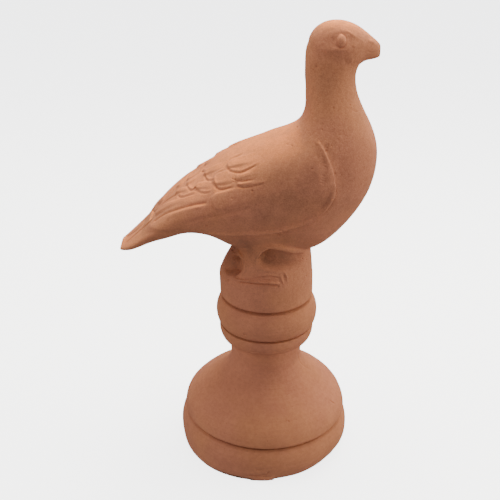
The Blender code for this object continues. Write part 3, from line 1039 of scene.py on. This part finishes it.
# A groove round the eye: how far out and how wide, in shares of the eye, and its depth
GROOVE_AT = 1.12
GROOVE_WIDTH = 0.16
GROOVE_DEPTH = 0.2 * MM
FACE_MARKS = [
    ([(347, 36), (351, 38), (354.5, 40.5)], -0.9, 2.4),
    ([(348.8, 39), (349.2, 44)], -0.8, 1.1),
    ([(334, 36), (333.5, 41), (335, 45)], -0.5, 1.3),
    ([(324, 43), (329, 41.5), (334, 42)], -0.4, 2.4),
    ([(322, 46), (328, 49.5), (335, 50.8), (342, 50.6), (348, 49.6), (353, 47.5)], 0.85, 2.4),
    ([(331, 46.5), (336, 48.8), (341, 49.6), (346, 48.8)], 0.3, 1.0),
    ([(336.5, 46.9), (341, 47.7), (345.5, 47)], -0.5, 0.6),
    ([(343, 30.5), (347.5, 31.8), (352, 34.3), (357, 38)], 0.4, 1.3),
    ([(351, 44.5), (356.5, 47.5)], 0.35, 0.7),
    ([(350, 47.5), (353, 51.5)], 0.3, 0.7),
    ([(352.5, 43), (359, 44.3)], 0.3, 0.7),
    ([(362.5, 38.5), (363.5, 43), (361.5, 49)], 0.5, 1.5),
    ([(367.5, 41.2), (371.5, 41.4), (375.5, 44)], 0.6, 1.3),
    ([(344.5, 57), (345.5, 61.5), (349, 64.5)], -0.35, 1.7),
    ([(350.8, 56), (351.8, 60.5), (350, 64.5)], 0.4, 1.1),
    ([(366, 51.5), (372, 52.3), (378, 51.8)], -0.35, 0.7),
]


def eye_height(places):
    """The dove's eye, an oval dome with a crisp edge."""
    across, _, up = (places - spot(DOVE_EYE)).T
    reach = np.hypot(across / DOVE_EYE_HALF[0], up / DOVE_EYE_HALF[1])
    dome = np.sqrt(np.clip(1 - reach**2, 0, None))
    groove = soft_bell(reach - GROOVE_AT, GROOVE_WIDTH)
    return np.where(reach < 2, DOVE_EYE_RELIEF * dome - GROOVE_DEPTH * groove, 0)


print("an eye and", len(FACE_MARKS), "marks on each side of the face")

# %% [markdown]
# ## The toes
#
# The toes are thin rolls pressed along the drum's side and trimmed with a blade: one
# bright ridge with cuts above and below it, and a curl of clay at the claws.

# %% Toes
TOE_MARKS = [
    ([(234, 278.6), (240, 279.8), (248, 280.6), (256, 281.4), (264, 281.9), (272, 282.5), (280, 283.2)],
     2.2, 0.8),
    ([(238, 281.8), (246, 282.6), (254, 283.4), (262, 284.2), (270, 284.8), (276, 285.6), (280, 286.8)],
     -1.3, 0.65),
    ([(252, 278.6), (259, 278), (263, 277.3), (268, 276.6), (274, 277.3), (280, 278.3)], -0.9, 0.65),
    ([(262, 279.9), (267, 279.9), (271, 280.2)], -0.5, 0.5),
    ([(258, 275.6), (264, 275.2), (270, 274.9), (277, 275.6)], 0.5, 0.7),
    ([(256, 273.8), (263, 273.2), (270, 273), (277, 273.6)], -0.4, 0.6),
    ([(262, 286.8), (267, 287), (272, 286.8)], -0.4, 0.5),
    ([(280.6, 275.5), (281.3, 279), (282.6, 282), (284.2, 284)], 0.8, 0.8),
    ([(282.4, 273), (284.6, 272.8), (286.4, 275.5), (287, 279), (286.2, 282.5)], 0.8, 0.7),
    ([(283.6, 275), (284.6, 278.3)], -1.7, 0.8),
    ([(280.4, 284), (280.2, 287.6)], 0.7, 0.7),
    ([(245.2, 260), (245.6, 265), (244.8, 271), (241.5, 276.5)], 0.9, 0.9),
    ([(237, 248), (238.8, 252), (241.2, 255.8), (243.5, 259.5)], 1.0, 0.8),
    ([(231, 250), (233.5, 252.6), (236.5, 255)], 0.8, 0.7),
    ([(255.5, 257.8), (260, 252.6), (265, 248.6), (270, 246.8), (277, 247), (285, 248.6), (293, 250.4),
      (301, 250.4)], 0.8, 1.6),
]
print(len(TOE_MARKS), "marks round each leg")

# %% [markdown]
# ## Pits and scratches
#
# Pin holes, where grit fell out of the clay, and the rasp strokes and nicks of the
# carver's tools. Those the photograph shows go where it shows them. The hidden side
# has a few of its own, placed by a seeded draw.

# %% Pits and scratches
# Pixels and radius in millimetres
PITS = [
    (297, 127, 0.7), (312.3, 169, 0.7), (334.5, 191.5, 0.9), (326, 150.7, 0.8), (327.3, 148.2, 0.5),
    (328, 144.5, 0.5), (331.5, 145.7, 0.5), (334.5, 173.6, 0.7), (341, 175, 0.5), (345.6, 208.8, 0.5),
    (282, 224, 0.5), (282, 229, 0.8), (278.5, 235, 1.0), (252, 191, 0.8), (206, 226, 0.8),
    (255.5, 205, 0.6), (231.6, 198.5, 0.6), (234.7, 180, 0.6), (232.2, 178.8, 0.5), (233.5, 182, 0.5),
    (228, 280, 1.0), (233, 252, 0.9), (230.8, 250.6, 0.7), (244.4, 335, 1.0), (288.5, 421.5, 0.7),
    (316.3, 66.2, 0.9), (322, 129.5, 0.5), (306, 276, 0.6), (302.3, 258.5, 0.6), (195, 188, 0.8),
    (306.5, 259.5, 0.5), (350, 105, 0.5),
]
# Depth of a pit, in radii
PIT_DEPTH = 1.3
# Each scratch: pixels, rise and width in millimetres
SCRATCHES = [
    ([(329.5, 400.5), (334.3, 403.8)], -0.7, 0.5),
    ([(330.5, 399.8), (335.2, 403.2)], 0.3, 0.5),
    ([(297.3, 352), (297.8, 356.5), (299.5, 361.5), (304, 366), (311, 370)], -0.25, 0.6),
    ([(298.3, 351.5), (298.9, 356), (300.6, 360.6)], 0.3, 0.6),
    ([(333.6, 105.6), (332.9, 107.8), (334.6, 109.6)], -0.5, 0.5),
    ([(335.2, 106.6), (335.6, 108.2)], 0.35, 0.5),
    ([(350.5, 106.5), (353.5, 108.3)], 0.4, 0.6),
    ([(356, 109.8), (358.4, 111.4)], 0.35, 0.6),
    ([(347.8, 108.4), (349, 110.2)], -0.4, 0.5),
    ([(353, 111), (356.5, 112)], -0.3, 0.6),
    ([(290.5, 144.5), (293, 147)], -0.3, 0.5),
    ([(286, 143.5), (288.5, 145.5)], -0.25, 0.5),
    ([(255, 469.8), (260, 470), (264.5, 469.3)], -0.7, 0.6),
    ([(246, 475.2), (253, 475.6), (260, 475.6), (266, 474.6), (268.5, 471.8)], -0.9, 0.7),
    ([(250, 472.8), (258, 472.6), (265, 472)], 0.6, 0.9),
    ([(241, 456.3), (242.5, 457)], 0.4, 0.5),
    ([(240, 349.5), (247, 351.3), (258, 352.6), (270, 353), (282, 351.8), (291, 349.6)], -0.35, 0.7),
    ([(246, 355.5), (258, 357), (270, 357.4), (283, 356.3)], -0.15, 0.8),
]
RASP_STROKES = [
    (321.3, 156.5), (321.8, 159.6), (322.4, 162.7), (323, 165.8), (320.8, 174.8), (321, 177.6), (321, 180.2),
    (319.2, 182.2),
]
# Way, rise and width of each rasp stroke
RASP_WAY = (5.0, 2.2)
RASP_RISE = -0.4
RASP_WIDTH = 0.5
SCRATCH_TAPER = 1.5 * MM
HIDDEN_PITS = 40
HIDDEN_SEED = 8
HIDDEN_FROM = 5 * MM
HIDDEN_RADII = (0.4, 0.9)

for start in RASP_STROKES:
    stop = (start[0] + RASP_WAY[0], start[1] + RASP_WAY[1])
    SCRATCHES.append(([start, stop], RASP_RISE, RASP_WIDTH))


def pit(height, places, centre, radius):
    """A pin hole, a little deeper than its radius."""
    close = np.nonzero(np.all(np.abs(places - centre) < 3 * radius, axis=1))[0]
    gap = np.linalg.norm(places[close] - centre, axis=1)
    height[close] -= PIT_DEPTH * radius * soft_bell(gap, radius)


def hidden_pits(height, places, normals):
    """Pits on the side that the eye does not see."""
    draw = random.Random(HIDDEN_SEED)
    away = np.nonzero((normals @ np.array(eye_back) < 0) & (places[:, 2] > HIDDEN_FROM))[0]
    for _ in range(HIDDEN_PITS):
        centre = places[away[draw.randrange(len(away))]]
        pit(height, places, centre, draw.uniform(*HIDDEN_RADII) * MM)


print(len(PITS), "pits and", len(SCRATCHES), "scratches in sight,", HIDDEN_PITS, "pits out of sight")

# %% [markdown]
# ## The trimmed foot
#
# The foot was cut off the wheel and its lower edge trimmed by hand. On both sides of
# the middle the knife has undercut the edge by a millimetre or two, most at the right,
# which draws a dark line along the ground; a painted shadow is laid along it in the
# clay's colour as well. Elsewhere the edge is drawn in or, where the inset is below zero,
# left standing out. Under the undercut the foot stands out again on a low heel. In the
# middle a tongue of clay was squeezed out and left.

# %% Lower edge of the foot
TRIM_HEIGHT = 15 * MM
TRIM_INNER = 66 * MM
UNDERCUT_TOP = 3.4 * MM
# How much the foot stands out again under a full undercut, at the ground
HEEL = 2.4 * MM
TRIM_FADE = 5 * MM
# Bearing round the axis in degrees, the front being -90, undercut and inset in millimetres
TRIM = [
    (-180, 0.0, -0.6), (-165, 0.0, -1.2), (-150, 0.2, -2.4), (-125, 0.6, -2.4), (-108, 1.2, -1.0),
    (-100, 1.4, -0.6), (-95, 0.0, -0.6), (-86, 0.0, -0.6), (-82, 2.0, 0.2), (-70, 2.0, 0.6),
    (-50, 1.8, 1.8), (-35, 1.2, 2.2), (-15, 0.4, 0.8), (5, 0.0, 0.0), (180, 0.0, -0.6),
]
# Bearing and half width in degrees
TONGUE = (-91.5, 7.0)
TONGUE_RISE = 1.6 * MM
TONGUE_TOP = 7 * MM
TONGUE_FADE = 2 * MM


def trim_at(x, y):
    """Bearing of each place, and undercut and inset of the foot there in millimetres."""
    bearings, undercuts, insets = np.array(TRIM).T
    bearing = np.degrees(np.arctan2(y, x))
    return bearing, np.interp(bearing, bearings, undercuts), np.interp(bearing, bearings, insets)


def trim_foot(places):
    """Draw in and undercut the foot's lower outside edge, and leave a tongue of clay in front."""
    x, y, z = places.T
    bearing, undercut, inset = trim_at(x, y)
    inset = inset * MM * ramp(1 - z / TRIM_HEIGHT)
    inset += undercut * MM * ramp((UNDERCUT_TOP - z) / MM)
    inset -= HEEL * np.clip(undercut, 0, 1) * ramp(1 - z / UNDERCUT_TOP)
    tongue = np.exp(-(((bearing - TONGUE[0]) / TONGUE[1]) ** 4)) * ramp((TONGUE_TOP - z) / TONGUE_FADE)
    outside = ramp((np.hypot(x, y) - TRIM_INNER) / TRIM_FADE)
    draw_in(places, (inset - TONGUE_RISE * tongue) * outside)
    return places


print("foot undercut by up to", max(undercut for _, undercut, _ in TRIM), "mm")

# %% [markdown]
# ## Carving
#
# All heights are added up first and the skin is then moved once along its normals.
# Last, a weak rough grain goes on the patches that were rubbed or scraped.

# %% Carve the marks
# Centre in pixels, reach, size of the grain and its height in millimetres
ROUGH_PATCHES = [
    ((318, 134), 26, 2.6, 0.20), ((345, 107), 13, 3.2, 0.25), ((322, 172), 12, 2.4, 0.15),
    ((335, 148), 12, 2.6, 0.20), ((240, 462), 22, 3.5, 0.25), ((266, 470), 12, 2.8, 0.30),
    ((325, 45), 14, 2.4, 0.15), ((222, 178), 26, 3.5, 0.12), ((245, 265), 22, 3.0, 0.14),
    ((343, 42), 13, 2.2, 0.22), ((330, 28), 16, 2.6, 0.12),
]
# A patch is left out beyond this many times its reach
ROUGH_END = 1.6


def roughen(height, places):
    """A fine uneven grain on the rubbed patches."""
    for centre, reach, grain, rise in ROUGH_PATCHES:
        gap = np.linalg.norm(places - spot(centre), axis=1)
        for index in np.nonzero(gap < ROUGH_END * reach * MM)[0]:
            fade = math.exp(-((gap[index] / (reach * MM)) ** 2))
            height[index] += fade * rise * MM * noise.noise(Vector(places[index]) / (grain * MM))


def carve_marks(mesh):
    """Cut and raise every mark along the skin's normals."""
    places, normals = read_skin(mesh)
    height = np.zeros(len(places))
    both_sides = near_side(places)
    for pixels, rise, width in WING_MARKS + FACE_MARKS + TOE_MARKS:
        mark(height, both_sides, pixels, rise * MM, width * MM)
    height += eye_height(both_sides)
    for across, down, radius in PITS:
        pit(height, places, spot((across, down)), radius * MM)
    for pixels, rise, width in SCRATCHES:
        mark(height, places, pixels, rise * MM, width * MM, taper=SCRATCH_TAPER)
    hidden_pits(height, places, normals)
    roughen(height, places)
    move_to(mesh, trim_foot(places + normals * height[:, None]))
    print("marks between", round(height.min() / MM, 2), "and", round(height.max() / MM, 2), "mm")


carve_marks(finial.data)

# %% [markdown]
# ## Thinning the mesh
#
# Nearly a million small squares are more than the form needs. Decimate takes away faces
# where the clay is plain and leaves them where it bends. What is left is then pushed
# about by a fraction of a millimetre, slowly over the form, since nothing pressed and
# smoothed by hand is even.

# %% Thin, and set in its place
FINIAL_TRIANGLES = 195000
# Size of the waves and their height
UNEVEN = [(30 * MM, 0.5 * MM), (11 * MM, 0.16 * MM)]

thin = finial.modifiers.new("Thin", "DECIMATE")
thin.ratio = FINIAL_TRIANGLES / (2 * len(finial.data.polygons))
bake(finial)


def settle(mesh):
    """Make the skin uneven, move it from its axis to its place, and keep it in the solid's box."""
    places, normals = read_skin(mesh)
    for size, rise in UNEVEN:
        swing = np.array([noise.noise(Vector(place) / size) for place in places])
        places += normals * rise * swing[:, None]
    places[:, 0] += AXIS_X
    places = np.clip(places, np.array(cad_low), np.array(cad_high))
    move_to(mesh, places)


settle(finial.data)
finial.data.shade_smooth()
print("finial:", sum(len(face.vertices) - 2 for face in finial.data.polygons), "triangles")

# %% [markdown]
# ## The clay
#
# Dry terracotta has no shine. Its colour drifts between pink and orange, it is mottled
# at the size of a grain of rice and peppered with pores. The dove, worked by hand, is
# rougher than the pedestal, on which the wheel has left faint level streaks. All of it
# is worked out from the place on the piece, so it stays put when the piece moves.
#
# Light and shade are partly painted into the colour. The crown, the back and the top of the
# tail, which face the sky, are painted paler as a painted top light, but the ledges of the
# scoops under the belly are not. A few places have real stained spots, and more dark patches
# are painted shade: in the scoops under the belly, on the wing and on the breast, with a
# painted shadow along the foot's undercut. How much of each a place has is stored on the
# mesh, and the material reads it there.

# %% Painted top light, stained spots and painted shade
# Painted light: how far a face must turn to the sky before it is painted paler, and where that is full
PAINTED_LIGHT_FROM = 0.6
PAINTED_LIGHT_FULL = 1.0
# Inside this radius and below this height over the perch, the scoop ledges get no painted light
SHELTER_RADIUS = 50 * MM
SHELTER_TOP = 20 * MM
# The painted shadow of the undercut lies on the foot's outer wall alone, from this radius outwards
WALL_INSIDE = 70.5 * MM
WALL_FADE = 1.5 * MM
# Real stained spots and painted shade patches: pixels, reach in millimetres and strength
STAINS_AND_PAINTED_SHADE = [
    ((200, 171.5), 1.6, 0.55), ((243, 241), 9, 0.3), ((233, 265), 9, 0.33), ((251, 249), 10, 0.43),
    ((290, 190), 32, 0.37), ((262, 214), 16, 0.18), ((265, 259), 8, 0.5), ((280, 259), 9, 0.43),
    ((293, 258), 7, 0.25), ((340, 203), 16, 0.3), ((324, 84), 10, 0.2),
]


def store(mesh, name, values):
    """Keep one number for every vertex of a mesh."""
    layer = mesh.attributes.new(name, "FLOAT", "POINT")
    layer.data.foreach_set("value", np.asarray(values, np.float32))


def paint_light_and_stains(mesh):
    """Store where the painted top light, the stained spots and the painted shade are."""
    places, normals = read_skin(mesh)
    places[:, 0] -= AXIS_X
    x, y, z = places.T
    radius = np.hypot(x, y)
    # Painted light: faces turned up are painted paler, except the scoop ledges under the belly
    sky_side = ramp((normals[:, 2] - PAINTED_LIGHT_FROM) / (PAINTED_LIGHT_FULL - PAINTED_LIGHT_FROM))
    sheltered = (radius < SHELTER_RADIUS) & (z < PERCH_Z + SHELTER_TOP)
    store(mesh, "painted_top_light", sky_side * (z > PERCH_Z - SHELTER_TOP) * ~sheltered)
    # Real stained spots, and painted shade where shade falls under the belly and on the flank
    stain_and_painted_shade = np.zeros(len(places))
    for centre, reach, strength in STAINS_AND_PAINTED_SHADE:
        gap = np.linalg.norm(places - spot(centre), axis=1)
        stain_and_painted_shade += strength * soft_bell(gap, reach * MM)
    # Painted shadow along the foot's undercut, on its outer wall
    painted_undercut_shadow = np.clip(trim_at(x, y)[1], 0, 1) * ramp((UNDERCUT_TOP - z) / MM)
    stain_and_painted_shade += painted_undercut_shadow * ramp((radius - WALL_INSIDE) / WALL_FADE)
    store(mesh, "stain_and_painted_shade", np.clip(stain_and_painted_shade, 0, 1))
    share = round(100 * float((sky_side > 0.5).mean()))
    print("bloom on", share, "per cent of the skin, and", len(STAINS_AND_PAINTED_SHADE), "stains")


paint_light_and_stains(finial.data)

# %% [markdown]
# ## The terracotta itself
#
# `add_node` adds any node, feeds it and hands back its outputs, and the small helpers
# after it keep the node tree readable. Colour and relief use the same noise, so a dark
# speck is also a small pit.

# %% Terracotta
CLAY_PINK = (0.43, 0.160, 0.086, 1)
CLAY_ORANGE = (0.43, 0.165, 0.078, 1)
# Painted light: the paler colour of the faces turned to the sky
CLAY_PAINTED_LIGHT = (0.72, 0.235, 0.082, 1)
# Real stained spots, painted shade and the painted shadow in the foot's undercut
CLAY_STAIN_AND_SHADE = (0.12, 0.06, 0.037, 1)
CLAY_ROUGHNESS = 0.92
CLAY_GLOSS = 0.12
# Scales of the noise, in waves to the metre, each with its detail and its roughness
DRIFT = (16, 2, 0.5)
PATCHES = (99, 3, 0.6)
CLOUD = (66, 3, 0.55)
MOTTLE = (330, 3, 0.6)
GRAIN = (900, 4, 0.65)
STREAK = (1, 2, 0.5)
STREAKS_LEVEL = (25, 25, 700)
PORES = 165
# The part of a noise's range that is spread over the whole result
MIDDLE = (0.3, 0.7)
DRIFT_MIDDLE = (0.35, 0.65)
# How patchy the painted top light and the stained spots and painted shade are: part of the noise, and what
# it leaves of them
PAINTED_LIGHT_PATCHES = ((0.3, 0.6), (0.6, 1))
STAIN_AND_SHADE_PATCHES = ((0.3, 0.65), (0.5, 1))
# What each does to the shade of the clay
MOTTLE_SHADE = (0.95, 1.05)
CLOUD_SHADE = (-0.04, 0.04)
SPECKLE_SHADE = (-0.11, 0.11)
STREAK_SHADE = 0.12
PORE_EDGE = (0.05, 0.14)
PORE_SHADE = (0.86, 1)
# What each does to the relief of the skin
MOTTLE_RELIEF = 0.8
GRAIN_RELIEF = 0.9
STREAK_RELIEF = 0.8
BUMP_STRENGTH = 0.6
BUMP_DEPTH = 0.35 * MM
# From the upper to the lower of these heights the wheel's streaks begin to show
WHEEL_HEIGHTS = (PERCH_Z - 35 * MM, PERCH_Z - 55 * MM)
# Between these heights the grain grows from the pedestal's to the dove's
HAND_HEIGHTS = (PERCH_Z - 110 * MM, PERCH_Z + 10 * MM)
HAND_GRAIN = (0.3, 1)


def add_node(tree, kind, inputs, **settings):
    """Add a node, feed its inputs with numbers or other outputs, and hand back its outputs."""
    node = tree.nodes.new(kind)
    for name, setting in settings.items():
        setattr(node, name, setting)
    for name, value in inputs.items():
        if isinstance(value, bpy.types.NodeSocket):
            tree.links.new(value, node.inputs[name])
        else:
            node.inputs[name].default_value = value
    return node.outputs


def add_noise(tree, where, scale, detail, roughness):
    """A noise texture on given coordinates."""
    inputs = {"Vector": where, "Scale": scale, "Detail": detail, "Roughness": roughness}
    return add_node(tree, "ShaderNodeTexNoise", inputs)["Fac"]


def remap(tree, value, span, result):
    """A value moved smoothly from one range to another."""
    inputs = {"Value": value}
    inputs.update(zip(("From Min", "From Max", "To Min", "To Max"), (*span, *result)))
    return add_node(tree, "ShaderNodeMapRange", inputs, interpolation_type="SMOOTHSTEP")["Result"]


def times(tree, first, second):
    """Two values multiplied."""
    return add_node(tree, "ShaderNodeMath", {0: first, 1: second}, operation="MULTIPLY")["Value"]


def plus(tree, first, *others):
    """Values added up."""
    for value in others:
        first = add_node(tree, "ShaderNodeMath", {0: first, 1: value}, operation="ADD")["Value"]
    return first


def mixed(tree, first, second, amount, blend="MIX"):
    """Two colours mixed."""
    inputs = {"Factor": amount, "A": first, "B": second}
    return add_node(tree, "ShaderNodeMix", inputs, data_type="RGBA", blend_type=blend)["Result"]


def stored(tree, name):
    """A number that is kept on the mesh."""
    return add_node(tree, "ShaderNodeAttribute", {}, attribute_name=name)["Fac"]


def clay_colour(tree, where):
    """Pink and orange clay, with painted light on its upper faces, stained spots and painted shade."""
    drift = remap(tree, add_noise(tree, where, *DRIFT), DRIFT_MIDDLE, (0, 1))
    patchy = add_noise(tree, where, *PATCHES)
    # Painted top light and painted shade, each broken into patches
    painted_top_light = times(tree, stored(tree, "painted_top_light"), remap(tree, patchy, *PAINTED_LIGHT_PATCHES))
    stain_and_painted_shade = times(tree, stored(tree, "stain_and_painted_shade"), remap(tree, patchy, *STAIN_AND_SHADE_PATCHES))
    colour = mixed(tree, CLAY_PINK, CLAY_ORANGE, drift)
    colour = mixed(tree, colour, CLAY_PAINTED_LIGHT, painted_top_light)
    return mixed(tree, colour, CLAY_STAIN_AND_SHADE, stain_and_painted_shade)


def terracotta():
    """Matt fired clay."""
    clay = bpy.data.materials.new("terracotta")
    clay.use_nodes = True
    tree = clay.node_tree
    where = add_node(tree, "ShaderNodeTexCoord", {})["Object"]
    level = add_node(tree, "ShaderNodeSeparateXYZ", {"Vector": where})["Z"]
    mottle = add_noise(tree, where, *MOTTLE)
    cloud = add_noise(tree, where, *CLOUD)
    grain = add_noise(tree, where, *GRAIN)
    flat = add_node(tree, "ShaderNodeMapping", {"Vector": where, "Scale": STREAKS_LEVEL})["Vector"]
    streak = plus(tree, add_noise(tree, flat, *STREAK), -0.5)
    streak = times(tree, streak, remap(tree, level, WHEEL_HEIGHTS, (0, 1)))
    by_hand = remap(tree, level, HAND_HEIGHTS, HAND_GRAIN)

    shade = plus(
        tree,
        remap(tree, mottle, MIDDLE, MOTTLE_SHADE),
        remap(tree, cloud, MIDDLE, CLOUD_SHADE),
        times(tree, streak, STREAK_SHADE),
        times(tree, remap(tree, grain, MIDDLE, SPECKLE_SHADE), by_hand),
    )
    pores = add_node(tree, "ShaderNodeTexVoronoi", {"Vector": where, "Scale": PORES})["Distance"]
    shade = times(tree, shade, remap(tree, pores, PORE_EDGE, PORE_SHADE))
    relief = plus(
        tree,
        times(tree, mottle, MOTTLE_RELIEF),
        times(tree, times(tree, grain, GRAIN_RELIEF), by_hand),
        times(tree, streak, STREAK_RELIEF),
    )
    bump = {"Height": relief, "Strength": BUMP_STRENGTH, "Distance": BUMP_DEPTH}

    shader = tree.nodes["Principled BSDF"]
    shader.inputs["Roughness"].default_value = CLAY_ROUGHNESS
    shader.inputs["Specular IOR Level"].default_value = CLAY_GLOSS
    colour = mixed(tree, clay_colour(tree, where), shade, 1, blend="MULTIPLY")
    tree.links.new(colour, shader.inputs["Base Color"])
    tree.links.new(add_node(tree, "ShaderNodeBump", bump)["Normal"], shader.inputs["Normal"])
    return clay


finial.data.materials.clear()
finial.data.materials.append(terracotta())
print("terracotta on", finial.name)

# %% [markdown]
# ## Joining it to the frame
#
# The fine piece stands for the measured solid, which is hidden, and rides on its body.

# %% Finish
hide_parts("dove_finial")
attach(finial, "root")
